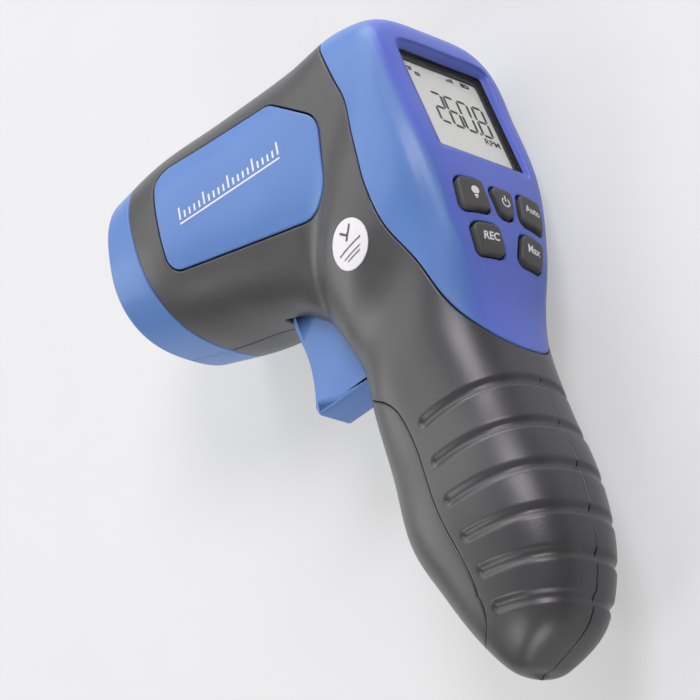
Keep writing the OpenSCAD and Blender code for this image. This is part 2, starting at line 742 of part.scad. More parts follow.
// battery, its tray across the grip, and its snap-on connector
module battery_tray() {
    back = cell_d/2;
    foot = -cell_h/2;
    head = cell_h/2 + 10;
    wire_gap = [cell_d, 4, 8];
    color([0.16, 0.16, 0.17]) place() difference() {
        intersection() {
            form(wall, 9, shell_end);
            on_cell() through([[back, head], [back, foot], [-1, foot], [-1, foot - tray_t],
                [back + tray_t, foot - tray_t], [back + tray_t, head]]);
        }
        on_cell() translate([0, cell_h/2 + 3, -wire_gap[2]/2]) cube(wire_gap);
    }
}
module battery() {
    color([0.15, 0.15, 0.16]) place() on_cell() {
        translate([-cell_d/2, -cell_h/2, -cell_w/2]) cube([cell_d, cell_h, cell_w]);
        translate([0, cell_h/2 - 1, terminal_gap/2]) rotate([-90, 0, 0])
            cylinder(r = small_terminal, h = terminal_h + 1);
        translate([0, cell_h/2 - 1, -terminal_gap/2]) rotate([-90, 0, 0])
            cylinder(r = large_terminal, h = terminal_h + 1);
    }
}
module battery_snap() {
    color([0.1, 0.1, 0.1]) place() on_cell() difference() {
        translate([0, cell_h/2, 0]) rotate([-90, 0, 0])
            slab(box_of(snap_d, cell_w - 1), 4, 0, 0, snap_h);
        translate([0, cell_h/2 - 1, terminal_gap/2]) rotate([-90, 0, 0])
            cylinder(r = small_terminal + run_gap, h = terminal_h + 1.2);
        translate([0, cell_h/2 - 1, -terminal_gap/2]) rotate([-90, 0, 0])
            cylinder(r = large_terminal + run_gap, h = terminal_h + 1.2);
    }
}
// front of the grip, hinged at its lower end on two stubs
module battery_door() {
    arm = hinge + 4*hinge_out;
    color([0.22, 0.22, 0.23]) place() {
        intersection() {
            difference() {
                form(0, 7, last);
                form(wall, 7, shell_end);
            }
            door_area(0);
        }
        translate([hinge[0], hinge[1], -knuckle_w/2]) cylinder(r = knuckle_r, h = knuckle_w);
        hull() {
            translate([hinge[0], hinge[1], -knuckle_w/2]) cylinder(r = 1.5, h = knuckle_w);
            translate([arm[0], arm[1], -knuckle_w/2]) cylinder(r = 1, h = knuckle_w);
        }
        translate([hinge[0], hinge[1], -knuckle_w/2 - ear_w])
            cylinder(r = stub_r, h = knuckle_w + 2*ear_w);
    }
}

module case_screws() {
    color([0.3, 0.3, 0.32]) place() for (q = case_screw_at) at_side(q[0], q[1]) {
        seat = screw_sink - side_z(q[0], q[1]);
        translate([0, 0, seat]) cylinder(r = screw_r, h = screw_reach - seat);
        translate([0, 0, seat - screw_head_h]) cylinder(r = screw_head_r, h = screw_head_h);
    }
}

// painted label plates set flush into the barrel's sides
module label_plate() {
    difference() {
        intersection() {
            form(0, 0.5, 6);
            label_area(0);
        }
        form(label_depth, 0.5, 6);
    }
}
module label_left() {
    color([0.2, 0.35, 0.75]) place() label_plate();
}
module label_right() {
    color([0.2, 0.35, 0.75]) place() mirror([0, 0, 1]) label_plate();
}
// round paper sticker on the left half
module check_sticker() {
    color([0.95, 0.95, 0.95]) place() difference() {
        intersection() {
            form(-sticker_t, 6, 8);
            at_side(sticker_at[0], sticker_at[1]) cylinder(r = sticker_r, h = far);
        }
        form(0, 6, 8);
    }
}

left_shell();
right_shell();
nose_ring();
front_plate();
receiver_lens();
lens_tube();
photo_sensor();
sensor_board();
laser_module();
rear_bezel();
display_window();
lcd_frame();
lcd_panel();
lcd_backlight();
main_board();
board_chips();
board_screws();
keypad_mat();
key_lamp();
key_power();
key_auto();
key_record();
key_max();
trigger();
trigger_pin();
trigger_spring();
trigger_switch();
battery_tray();
battery();
battery_snap();
battery_door();
case_screws();
label_left();
label_right();
check_sticker();
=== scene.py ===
import math
import bmesh
import bpy
import numpy as np
from mathutils import Matrix, Vector


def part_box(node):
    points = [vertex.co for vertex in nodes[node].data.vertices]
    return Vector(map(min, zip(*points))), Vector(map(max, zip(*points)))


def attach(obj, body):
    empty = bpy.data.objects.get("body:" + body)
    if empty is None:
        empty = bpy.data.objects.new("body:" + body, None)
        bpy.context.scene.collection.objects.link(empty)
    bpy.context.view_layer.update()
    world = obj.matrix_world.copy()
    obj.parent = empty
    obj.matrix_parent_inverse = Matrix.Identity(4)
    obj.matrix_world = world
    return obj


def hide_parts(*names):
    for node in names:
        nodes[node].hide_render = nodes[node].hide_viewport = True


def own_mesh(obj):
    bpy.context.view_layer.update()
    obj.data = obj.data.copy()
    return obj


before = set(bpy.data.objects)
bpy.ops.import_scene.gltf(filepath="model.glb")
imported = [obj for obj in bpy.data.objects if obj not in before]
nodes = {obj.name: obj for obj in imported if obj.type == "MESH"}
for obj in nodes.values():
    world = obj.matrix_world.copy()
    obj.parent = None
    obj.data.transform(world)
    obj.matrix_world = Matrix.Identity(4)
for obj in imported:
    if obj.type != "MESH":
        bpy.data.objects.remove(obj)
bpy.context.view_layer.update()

# Studio: the instrument lies on its right side on a pale floor under soft light.
# The camera looks down on its left side, its back and the underside of the grip.
scene = bpy.context.scene
scene.view_settings.view_transform = "Standard"
toward = Vector((0.59936, -0.45019, 0.66189)).normalized()
middle = Vector((0.007691, 0.006542, 0.02575))
up = (Vector((0, 1, 0)) - toward.y * toward).normalized()
right = up.cross(toward)
roll = math.radians(-9.196)
right, up = (math.cos(roll) * right + math.sin(roll) * up,
             -math.sin(roll) * right + math.cos(roll) * up)
eye_distance = 0.9
eye = middle + eye_distance * toward
aim = middle - right * 0.00941 + up * 0.00273
back = (eye - aim).normalized()
right = (right - right.dot(back) * back).normalized()
up = back.cross(right)
camera = bpy.data.objects.new("camera", bpy.data.cameras.new("camera"))
scene.collection.objects.link(camera)
camera.matrix_world = Matrix((
    (right.x, up.x, back.x, eye.x), (right.y, up.y, back.y, eye.y),
    (right.z, up.z, back.z, eye.z), (0, 0, 0, 1)))
camera.data.sensor_width = 36
camera.data.lens = 191.2
camera.data.clip_start = 0.01
camera.data.clip_end = 20
scene.camera = camera


def lamp(name, place, size, power, colour=(1, 1, 1)):
    data = bpy.data.lights.new(name, "AREA")
    data.shape = "DISK"
    data.size = size
    data.energy = power
    data.color = colour
    obj = bpy.data.objects.new(name, data)
    scene.collection.objects.link(obj)
    obj.location = place
    obj.rotation_euler = (Vector((0, 0, 0.02)) - Vector(place)).to_track_quat("-Z", "Y").to_euler()


lamp("key_lamp_head", (-1.0, 1.5, 1.9), 2.0, 18)
lamp("nose_lamp_head", (-1.9, 0.5, 1.1), 1.2, 9)
lamp("top_lamp_head", (0.0, 2.07, 0.75), 1.5, 24)
lamp("back_lamp_head", (1.04, 1.04, 1.63), 1.0, 26, (0.97, 0.91, 1))
lamp("grip_lamp_head", (0.0, -2.07, 0.75), 1.0, 15)
lamp("trigger_lamp_head", (-1.04, -1.04, 1.63), 1.0, 11)


def worked(tree, operation, first, second):
    node = tree.nodes.new("ShaderNodeMath")
    node.operation = operation
    for socket, value in zip(node.inputs, (first, second)):
        if isinstance(value, (int, float)):
            socket.default_value = value
        else:
            tree.links.new(value, socket)
    return node.outputs["Value"]


# a white tent round the table: dim as a light, and paler where it shows in a gloss
world = bpy.data.worlds.new("tent")
scene.world = world
world.use_nodes = True
tent = world.node_tree
tent_side = (-0.6, 0.35, 0.72)
tent_dim, tent_bright, tent_in_gloss = 0.005, 0.04, 13
look = tent.nodes.new("ShaderNodeTexCoord")
facing = tent.nodes.new("ShaderNodeVectorMath")
facing.operation = "DOT_PRODUCT"
facing.inputs[1].default_value = tent_side
level = tent.nodes.new("ShaderNodeMapRange")
level.inputs["From Min"].default_value = -1
level.inputs["To Min"].default_value = tent_dim
level.inputs["To Max"].default_value = tent_bright
tent.links.new(look.outputs["Generated"], facing.inputs[0])
tent.links.new(facing.outputs["Value"], level.inputs["Value"])
ray = tent.nodes.new("ShaderNodeLightPath")
gain = worked(tent, "ADD", worked(tent, "MULTIPLY", ray.outputs["Is Glossy Ray"], tent_in_gloss), 1)
backdrop = tent.nodes["Background"]
backdrop.inputs["Color"].default_value = (1, 1, 1, 1)
tent.links.new(worked(tent, "MULTIPLY", level.outputs["Result"], gain), backdrop.inputs["Strength"])


def new_material(name):
    mat = bpy.data.materials.new(name)
    mat.use_nodes = True
    return mat, mat.node_tree.nodes, mat.node_tree.links


def grain(tree_nodes, links, scale, detail=3.0):
    place = tree_nodes.get("place") or tree_nodes.new("ShaderNodeTexCoord")
    place.name = "place"
    noise = tree_nodes.new("ShaderNodeTexNoise")
    noise.inputs["Scale"].default_value = scale
    noise.inputs["Detail"].default_value = detail
    links.new(place.outputs["Object"], noise.inputs["Vector"])
    return noise


def shades(tree_nodes, links, source, low, high, start=0.3, end=0.7):
    ramp = tree_nodes.new("ShaderNodeValToRGB")
    ramp.color_ramp.elements[0].position = start
    ramp.color_ramp.elements[1].position = end
    ramp.color_ramp.elements[0].color = (*low, 1)
    ramp.color_ramp.elements[1].color = (*high, 1)
    links.new(source, ramp.inputs["Fac"])
    return ramp.outputs["Color"]


def spread(tree_nodes, links, source, low, high):
    part = tree_nodes.new("ShaderNodeMapRange")
    part.inputs["To Min"].default_value = low
    part.inputs["To Max"].default_value = high
    links.new(source, part.inputs["Value"])
    return part.outputs["Result"]


# A moulded or painted finish: two close shades in a broad cloud, a fine tooled grain in the
# relief and a gloss that wanders a little over the surface.
def finish(name, low, high, rough, grain_scale, relief, metal=0.0, coat=0.0, gloss=0.5):
    mat, n, links = new_material(name)
    shader = n["Principled BSDF"]
    cloud_scale, grain_height = 55, 0.0002
    cloud = grain(n, links, cloud_scale, 4)
    fine = grain(n, links, grain_scale, 2)
    links.new(shades(n, links, cloud.outputs["Fac"], low, high), shader.inputs["Base Color"])
    links.new(spread(n, links, cloud.outputs["Fac"], rough - 0.05, rough + 0.06),
              shader.inputs["Roughness"])
    bump = n.new("ShaderNodeBump")
    bump.inputs["Strength"].default_value = relief
    bump.inputs["Distance"].default_value = grain_height
    links.new(fine.outputs["Fac"], bump.inputs["Height"])
    links.new(bump.outputs["Normal"], shader.inputs["Normal"])
    shader.inputs["Metallic"].default_value = metal
    shader.inputs["Coat Weight"].default_value = coat
    shader.inputs["Coat Roughness"].default_value = 0.24
    shader.inputs["Specular IOR Level"].default_value = gloss
    return mat


floor_mesh = bpy.data.meshes.new("floor")
floor_mesh.from_pydata([(-4, -4, 0), (4, -4, 0), (4, 4, 0), (-4, 4, 0)], [], [(0, 1, 2, 3)])
floor = bpy.data.objects.new("floor", floor_mesh)
scene.collection.objects.link(floor)
paper_floor = finish("floor_paper", (0.80, 0.80, 0.80), (0.82, 0.82, 0.82), 0.8, 600, 0.03, gloss=0.0)
floor_mesh.materials.append(paper_floor)
# the floor's own paleness shows to the eye and in reflections, and part of the shadow stays
paper = paper_floor.node_tree
path = paper.nodes.new("ShaderNodeLightPath")
pale = paper.nodes.new("ShaderNodeEmission")
paleness, own_share = 0.855, 0.5
pale.inputs["Color"].default_value = (paleness, paleness, paleness, 1)
seen = path.outputs["Is Camera Ray"]
for other in ("Is Glossy Ray", "Is Transmission Ray"):
    seen = worked(paper, "MAXIMUM", seen, path.outputs[other])
blend = paper.nodes.new("ShaderNodeMixShader")
paper.links.new(worked(paper, "MULTIPLY", seen, own_share), blend.inputs["Fac"])
paper.links.new(paper.nodes["Principled BSDF"].outputs["BSDF"], blend.inputs[1])
paper.links.new(pale.outputs["Emission"], blend.inputs[2])
paper.links.new(blend.outputs["Shader"], paper.nodes["Material Output"].inputs["Surface"])

# Left case half: satin grey moulded plastic, one of two halves that meet on the middle plane.
# Its form is a smooth sweep of rounded sections from the nose to the end of the grip, with six
# finger grooves pressed into the back of the grip.
shift = np.array([2.69112, 61.542, 25.75])
lean = math.radians(15)
face_mid = np.array([41.6, 1.2])
face_up = np.array([-math.sin(lean), math.cos(lean)])
face_out = np.array([math.cos(lean), math.sin(lean)])


def grip_row(mid, depth, f_in, f_out, width, fullness):
    reach, top_y, length, half_w = depth * 23.25, -62, 89, 19
    return (mid - reach, top_y - length * f_in, mid + reach, top_y - length * f_out,
            half_w * width, 0.5, fullness, fullness)


sections = np.array([
    (-64, -22.5, -64, 24, 23.75, 0.5, 2.5, 2.5), (-45, -27.6, -45, 27, 25.75, 0.5, 2.5, 2.5),
    (-28, -31, -22, 27.4, 25, 0.5, 2.5, 2.6), (-15, -35.2, 4.5, 27.4, 24, 0.52, 2.5, 3),
    (-8, -40, 23, 27.2, 23.5, 0.56, 2.4, 4),
    (-5, -44, *(face_mid + 20.4 * face_up), 23.4, 0.6, 2.2, 4.6),
    (-2, -49, *face_mid, 24.9, 0.6, 2.2, 4.6),
    (1.5, -56, *(face_mid - 20.4 * face_up), 23.9, 0.58, 2.2, 4.2),
    (4, -65, 49.4, -40, 20.5, 0.55, 2.2, 3.2),
    grip_row(27.2, 0.895, 0.18, 0, 1.035, 2.45), grip_row(29.85, 0.955, 0.348, 0.25, 0.985, 2.35),
    grip_row(33.5, 1.028, 0.545, 0.492, 1, 2.35), grip_row(37.15, 0.918, 0.7, 0.72, 0.88, 2.35),
    grip_row(38, 0.65, 0.85, 0.904, 0.68, 2.3), grip_row(35.7, 0.25, 0.96, 0.98, 0.4, 2.2),
    grip_row(35.8, 0.03, 0.9975, 0.99, 0.06, 2)])


def smooth(rows, s):
    ends = np.vstack([2 * rows[0] - rows[1], rows, 2 * rows[-1] - rows[-2]])
    s = np.atleast_1d(np.asarray(s, float))
    i = np.clip(np.floor(s).astype(int), 0, len(rows) - 2)
    t = (s - i)[:, None]
    a, b, c, d = ends[i], ends[i + 1], ends[i + 2], ends[i + 3]
    return 0.5 * (2 * b + (c - a) * t + (2 * a - 5 * b + 4 * c - d) * t ** 2
                  + (3 * b - a - 3 * c + d) * t ** 3)


def at(s, t):
    r = smooth(sections, s)
    return r[:, :2] + np.atleast_1d(t)[:, None] * (r[:, 2:4] - r[:, :2])


# The form as rows along the case and even steps around each section. A section runs from a front
# point to a back point, with a half width, where it is widest, and how square its two ends are.
per_section, around = 48, 161
row_s = np.arange(15 * per_section + 1) / per_section
tau = np.linspace(0, 1, 181)
angle = tau ** 2.3 / (tau ** 2.3 + (1 - tau) ** 2.3) * math.pi / 2
half, side_v = [], []
for r in smooth(sections, row_s):
    p, q, w, tc, ep, eq = r[:2], r[2:4], *r[4:]
    m = np.r_[tc + (1 - tc) * np.cos(angle) ** (2 / eq),
              (tc - tc * np.cos(angle) ** (2 / ep))[::-1][1:]]
    z = w * np.r_[np.sin(angle) ** (2 / eq), (np.sin(angle) ** (2 / ep))[::-1][1:]]
    ring = np.c_[p + m[:, None] * (q - p), z]
    run = np.r_[0, np.cumsum(np.linalg.norm(np.diff(ring, axis=0), axis=1))]
    even = np.linspace(0, run[-1], around)
    half.append(np.c_[[np.interp(even, run, ring[:, k]) for k in range(3)]].T)
    side_v.append(run[180] / run[-1])
half = np.array(half)
half[-1] = half[-1].mean(0) * (1, 1, 0)
form = np.concatenate([half[:, :0:-1] * (1, 1, -1), half[:, :-1]], 1)
col_v = np.arange(-around + 1, around - 1) / (around - 1)


def outward(table):
    ds = np.gradient(table, axis=0)
    dv = np.roll(table, -1, 1) - np.roll(table, 1, 1)
    n = np.cross(ds, dv)
    n /= np.maximum(np.linalg.norm(n, axis=2, keepdims=True), 1e-9)
    n[-1] = (0, -1, 0)
    mid = table.mean(1, keepdims=True)
    return n * np.sign(((table - mid) * n).sum(2, keepdims=True).mean())


groove_r, groove_depth, groove_first, groove_step = 1.9, 0.8, 9.93, 0.56
form_out = outward(form)
pace = np.linalg.norm(np.gradient(form, row_s, axis=0), axis=2)
girth = np.linalg.norm(np.diff(half, axis=1), axis=2).sum(1)
sink = np.zeros(pace.shape)
for k in range(6):
    along = (row_s - groove_first - groove_step * k)[:, None] * pace
    past = np.maximum(np.abs(col_v)[None] - np.array(side_v)[:, None], 0) * girth[:, None]
    d2 = along ** 2 + past ** 2
    sink = np.maximum(sink, np.sqrt(np.maximum(groove_r ** 2 - d2, 0)) - (groove_r - groove_depth))
# soft ridge where the display face turns into the sides of the head
ridge_z = np.interp(row_s, (5.0, 5.44, 5.9, 6.32, 6.81, 7.27, 7.61, 7.94, 8.61),
                    (19.7, 19.9, 19.6, 19.4, 18.9, 18.1, 17.2, 16.3, 12.1))
fade = np.clip((row_s - 4.5) / 0.7, 0, 1) * np.clip((9.1 - row_s) / 0.8, 0, 1)
ridge_cols = np.arange(61)
ridge_v = np.array([np.interp(z, h[ridge_cols, 2], ridge_cols / (around - 1))
                    for z, h in zip(ridge_z, half)])
off_ridge = np.abs(np.abs(col_v)[None] - ridge_v[:, None]) * girth[:, None]
ridge_h, ridge_w = 0.5, 4.5
lift_ridge = ridge_h * fade[:, None] * np.clip(1 - off_ridge / ridge_w, 0, 1)
form = form + form_out * (lift_ridge - np.maximum(sink, 0))[..., None]
form_out = outward(form)
tip, tip_reach = np.array([35.8, -150.6]), 14
least_slope = 0.12


def skin(s, v):
    a = np.clip(s * per_section, 0, len(row_s) - 1.000001)
    b = ((v + 1) % 2) * (around - 1)
    i, j = a.astype(int), b.astype(int) % len(col_v)
    fa, fb = (a - i)[:, None], (b - np.floor(b))[:, None]
    j1 = (j + 1) % len(col_v)
    mix = lambda t: ((1 - fa) * ((1 - fb) * t[i, j] + fb * t[i, j1])
                     + fa * ((1 - fb) * t[i + 1, j] + fb * t[i + 1, j1]))
    n = mix(form_out)
    return mix(form), n / np.linalg.norm(n, axis=1, keepdims=True)


def to_outline(xy, outline):
    a = np.asarray(outline, float)
    b = np.roll(a, -1, 0)
    e = b - a
    best = np.full(len(xy), 1e9)
    way = np.zeros((len(xy), 2))
    inside = np.zeros(len(xy), bool)
    for k in range(len(a)):
        w = xy - a[k]
        t = np.clip((w @ e[k]) / max(e[k] @ e[k], 1e-12), 0, 1)
        d = w - t[:, None] * e[k]
        l = np.linalg.norm(d, axis=1)
        hit = l < best
        best[hit] = l[hit]
        way[hit] = d[hit]
        over = (a[k, 1] > xy[:, 1]) != (b[k, 1] > xy[:, 1])
        if e[k, 1]:
            inside ^= over & (xy[:, 0] < a[k, 0] + (xy[:, 1] - a[k, 1]) / e[k, 1] * e[k, 0])
    return np.where(inside, -best, best), way / np.maximum(best, 1e-9)[:, None]


def seam(outline, side=1):
    def far(p, n):
        d, m = to_outline(p[:, :2], outline)
        slope = 1 - (m * n[:, :2]).sum(1) ** 2
        return side * d / np.sqrt(np.maximum(slope, least_slope))
    return far


# how much of its full depth a lip may have, which falls off towards the closed end of the grip
def tip_room(p):
    return np.clip(np.linalg.norm(p[:, :2] - tip, axis=1) / tip_reach, 0.03, 1)[:, None]


def inward(depth):
    return lambda p, n: [p - n * depth * tip_room(p) * f for f in (0.35, 1)]


def split_at(bm, far, level):
    bm.verts.ensure_lookup_table()
    bm.verts.index_update()
    sv = np.array([v.co[:2] for v in bm.verts])
    f = far(*skin(sv[:, 0], sv[:, 1])) - level
    f[np.abs(f) < 2e-3] = 0
    crossed = [e for e in bm.edges if f[e.verts[0].index] * f[e.verts[1].index] < 0]
    line = [v for v in bm.verts if f[v.index] == 0]
    if crossed:
        a = np.array([e.verts[0].index for e in crossed])
        b = np.array([e.verts[1].index for e in crossed])
        lo, hi, flo = np.zeros(len(a)), np.ones(len(a)), f[a]
        fhi = f[b]
        for step in range(4):
            t = lo + (hi - lo) * flo / (flo - fhi)
            m = sv[a] + (sv[b] - sv[a]) * t[:, None]
            fm = far(*skin(m[:, 0], m[:, 1])) - level
            low = np.sign(fm) == np.sign(flo)
            lo, flo = np.where(low, t, lo), np.where(low, fm, flo)
            hi, fhi = np.where(low, hi, t), np.where(low, fhi, np.where(fm == 0, -flo * 1e-6, fm))
        for e, f_t in zip(crossed, t):
            line.append(bmesh.utils.edge_split(e, e.verts[0], float(min(max(f_t, 0.02), 0.98)))[1])
    if line:
        bmesh.ops.connect_verts(bm, verts=line)


# a mesh in the shared frame and in metres, from points in the part's own millimetres
def built(name, points, faces):
    mesh = bpy.data.meshes.new(name)
    mesh.from_pydata(((points + shift) / 1000).tolist(), [], faces)
    return mesh


def link(name, mesh, mat, body, slot, *stands_for):
    for poly in mesh.polygons:
        poly.use_smooth = True
    mesh.materials.append(mat)
    obj = bpy.data.objects.new(name, mesh)
    scene.collection.objects.link(obj)
    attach(obj, body)
    if stands_for:
        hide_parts(*stands_for)
    return obj


# One moulded piece cut out of the case form. keep lists what bounds it: a distance that is
# positive on the piece, the gap to leave there, the edge radius, and the wall that turns inward.
def moulded(keep, s_span, v_span, cell, lift=0.0, extra=()):
    cell *= 1
    s_cells = np.linspace(*s_span, 400)
    v_probe = np.linspace(*v_span, 9)
    probe_cols = np.searchsorted(col_v, (v_probe + 1) % 2 - 1) % len(col_v)
    pace_s = np.interp(s_cells, row_s, pace[:, probe_cols].max(1))
    gone = np.r_[0, np.cumsum((pace_s[1:] + pace_s[:-1]) / 2 * np.diff(s_cells))]
    rows = np.interp(np.linspace(0, gone[-1], max(8, int(gone[-1] / cell))), gone, s_cells)
    widest = np.interp(s_cells, row_s, girth).max() * (v_span[1] - v_span[0])
    cols = np.linspace(*v_span, max(8, int(widest / cell)))
    grid_s, grid_v = np.meshgrid(rows, cols, indexing="ij")
    bm = bmesh.new()
    verts = [bm.verts.new((a, b, 0)) for a, b in zip(grid_s.ravel(), grid_v.ravel())]
    n = len(cols)
    for i in range(len(rows) - 1):
        for j in range(n - 1):
            k = i * n + j
            bm.faces.new((verts[k], verts[k + 1], verts[k + n + 1], verts[k + n]))
    for far, edge, radius, turn in keep:
        split_at(bm, far, edge)
        mid = np.array([f.calc_center_median()[:2] for f in bm.faces])
        lost = far(*skin(mid[:, 0], mid[:, 1])) < edge
        bmesh.ops.delete(bm, geom=[f for f, x in zip(bm.faces, lost) if x], context="FACES")
        for share in (0.12, 0.45, 1.0):
            split_at(bm, far, edge + share * radius)
    bm.verts.index_update()
    sv = np.array([v.co[:2] for v in bm.verts])
    p, out = skin(sv[:, 0], sv[:, 1])
    drop = np.zeros(len(p))
    nearest, owner = np.full(len(p), 1e9), np.zeros(len(p), int)
    for k, (far, edge, radius, turn) in enumerate(keep):
        d = far(p, out) - edge
        x = np.clip(1 - d / radius, 0, 1)
        drop = np.maximum(drop, radius * (1 - np.sqrt(1 - x ** 2)))
        own = np.abs(d) < nearest
        nearest[own], owner[own] = np.abs(d)[own], k
    p = p + out * (lift - drop)[:, None]
    points = [p]
    faces = []
    first = next(iter(bm.faces))
    ids = [v.index for v in first.verts]
    flip = np.cross(p[ids[1]] - p[ids[0]], p[ids[2]] - p[ids[0]]) @ out[ids[0]] < 0
    for f in bm.faces:
        ids = [v.index for v in f.verts]
        faces.append(ids[::-1] if flip else ids)
    rim_verts = [v.index for v in bm.verts if v.is_boundary]
    walls = {}
    for k, (far, edge, radius, turn) in enumerate(keep):
        mine = [i for i in rim_verts if owner[i] == k]
        if mine:
            for i, *layers in zip(mine, *turn(p[mine], out[mine])):
                walls[i] = layers
    depth = min((len(w) for w in walls.values()), default=0)
    number = {}
    for i, layers in walls.items():
        number[i] = [sum(len(x) for x in points) + c for c in range(depth)]
        points.append(np.array(layers[:depth]))
    for e in bm.edges:
        if not e.is_boundary:
            continue
        loop = e.link_loops[0]
        a, b = loop.vert.index, loop.link_loop_next.vert.index
        if flip:
            a, b = b, a
        if a in number and b in number:
            chain_a, chain_b = [a, *number[a]], [b, *number[b]]
            for c in range(depth):
                faces.append((chain_b[c], chain_a[c], chain_a[c + 1], chain_b[c + 1]))
    bm.free()
    for more_points, more_faces in extra:
        start = sum(len(x) for x in points)
        points.append(np.array(more_points))
        faces += [[start + i for i in f] for f in more_faces]
    mesh = built("moulded", np.concatenate(points), faces)
    mesh.update()
    return mesh


def curve(points, n):
    points = np.array(points, float)
    return smooth(points, np.arange(n * (len(points) - 1) + 1) / n)


ring_x, ring_fall = -52, math.tan(math.radians(9))
ring_line = [(-90, 90), (ring_x - 90 * ring_fall, 90), (ring_x + 90 * ring_fall, -90), (-90, -90)]
seam_st = curve([(3.3, 1.1), (3.72, 0.94), (4.03, 0.86), (4.66, 0.75), (5.38, 0.7), (5.96, 0.68),
                 (6.53, 0.64), (7.12, 0.63), (7.68, 0.67), (8.63, 0.81), (9.36, 0.965), (9.75, 1.07)], 8)
bezel_line = np.vstack([at(seam_st[:, 0], seam_st[:, 1]), [(90, -90), (90, 90)]])
hinge, hinge_out = np.array([27.5881, -134.794]), np.array([-0.85465, -0.5192])
door_turn = 6.37
door_st = curve([(8.0, -0.12), (8.2, -0.01), (8.84, 0.15), (9.24, 0.28), (9.55, 0.35), (9.96, 0.385),
                 (10.47, 0.4), (11.5, 0.4), (12.2, 0.4), (12.45, 0.385), (12.62, 0.33)], 6)
door_line = np.vstack([at(door_st[:, 0], door_st[:, 1]), [hinge, hinge + 16.5 * hinge_out,
                      (-64, hinge[1] - 5.5), (-64, -62)]])


def off_door(p, n):
    d, m = to_outline(p[:, :2], door_line)
    w = p[:, :2] - hinge
    r = np.linalg.norm(w, axis=1)
    m = np.where((r - door_turn < d)[:, None], w / np.maximum(r, 1e-9)[:, None], m)
    slope = 1 - (m * n[:, :2]).sum(1) ** 2
    return np.minimum(d, r - door_turn) / np.sqrt(np.maximum(slope, least_slope))


# the lip of a case half, which keeps out of the round that the door's lower end turns in
def beside_door(depth):
    near_r, fade_r, spare = 10.5, 1.5, 0.35

    def turn_in(p, n):
        w = p[:, :2] - hinge
        r = np.linalg.norm(w, axis=1)
        away = w / r[:, None]
        move = -n * depth * tip_room(p)
        near = np.clip((near_r - r) / fade_r, 0, 1)
        toward_pin = np.minimum((move[:, :2] * away).sum(1), 0) - spare
        move[:, :2] -= away * (near * toward_pin)[:, None]
        return [p + move * f for f in (0.35, 1)]
    return turn_in


turn = np.linspace(0, 2 * math.pi, 40, endpoint=False)
label_corners = [(1.35, 0.699, 5), (2.92, 0.695, 6), (3.83, 0.557, 8), (4.08, 0.407, 9), (1.45, 0.336, 5)]
cloud = np.vstack([at(s, t) + r * np.c_[np.cos(turn), np.sin(turn)] for s, t, r in label_corners])
hull = []
k = int(np.argmin(cloud[:, 0]))
while not hull or k != hull[0]:
    hull.append(k)
    far_k = (k + 1) % len(cloud)
    for c in range(len(cloud)):
        a, b = cloud[far_k] - cloud[k], cloud[c] - cloud[k]
        side = a[0] * b[1] - a[1] * b[0]
        if side < -1e-9 or (abs(side) < 1e-9 and b @ b > a @ a):
            far_k = c
    k = far_k
label_line = cloud[hull]
slot_line = [(-21.6, -66), (-21.6, -24), (-7, -24), (-7, -29.5), (4.6, -42), (8, -46), (11, -47.5),
             (11, -59.2), (2, -61.4), (-8, -66)]
slot_half_w = 5.9
seam_gap, seam_edge, lip = 0.12, 0.45, 2.2


def off_slot(p, n):
    d = to_outline(p[:, :2], slot_line)[0]
    w = np.abs(p[:, 2]) - slot_half_w
    return np.where((d > 0) & (w > 0), np.hypot(d, w), np.maximum(d, w))


def half_case(side):
    return [(lambda p, n: side * p[:, 2], 0.11, 0.35, beside_door(lip)),
            (seam(ring_line), seam_gap, seam_edge, inward(lip)),
            (seam(bezel_line), seam_gap, seam_edge, inward(lip)),
            (off_door, 0.18, seam_edge, beside_door(lip)),
            (off_slot, 0.0, 0.6, inward(2.6)),
            (seam(label_line), 0.2, 0.5, inward(1.2))]


case_plastic = finish("case_plastic", (0.047, 0.047, 0.048), (0.06, 0.06, 0.061), 0.34, 2600, 0.16,
                      gloss=0.5)
link("left_case_half", moulded(half_case(1), (0.45, 15), (0, 1), 0.56), case_plastic,
     "case", "case_plastic", "left_shell")

# Right case half: the mirror image, with five counterbored holes for the screws that draw
# the halves together. The screws are dark plated steel.
screw_st = [(2.82, 0.64), (2.33, 0.32), (8.15, 0.41), (10.8, 0.825), (12.5, 0.68)]
screw_xy = np.vstack([at(s, t) for s, t in screw_st])
head_hole_r = 2.8


def off_screws(p, n):
    return np.linalg.norm(p[:, None, :2] - screw_xy[None, 2:], axis=2).min(1)


def straight(depth):
    return lambda p, n: [p + np.array([0, 0, f]) * depth for f in (0.3, 1)]


right_keep = half_case(-1) + [(off_screws, head_hole_r, 0.3, straight(4.6))]
link("right_case_half", moulded(right_keep, (0.45, 15), (-1, 0), 0.56), case_plastic,
     "case", "case_plastic", "right_shell")
dark_steel = finish("dark_steel", (0.16, 0.16, 0.17), (0.24, 0.24, 0.25), 0.34, 1800, 0.1, metal=1.0)


def paint(node, mat):
    mesh = nodes[node].data
    mesh.materials.clear()
    mesh.materials.append(mat)


paint("case_screws", dark_steel)

# Nose ring: blue painted moulding pushed over the front of both halves.
# Its front edge is rounded, and a round recess leads to the optics plate.
blue_low, blue_high = (0.099, 0.218, 0.53), (0.113, 0.24, 0.565)
blue_paint = finish("blue_paint", blue_low, blue_high, 0.5, 3200, 0.1, coat=0.35, gloss=0.22)


def nose_front(p, n):
    axis_y = 0.75
    w = p[:, 1:] - (axis_y, 0)
    w = w / np.linalg.norm(w, axis=1, keepdims=True)
    rings = []
    for r, x in ((19.3, -64), (18.75, -63.9), (18.5, -63.6), (18.5, -61)):
        rings.append(np.c_[np.full(len(p), x), axis_y + r * w[:, 0], r * w[:, 1]])
    return rings


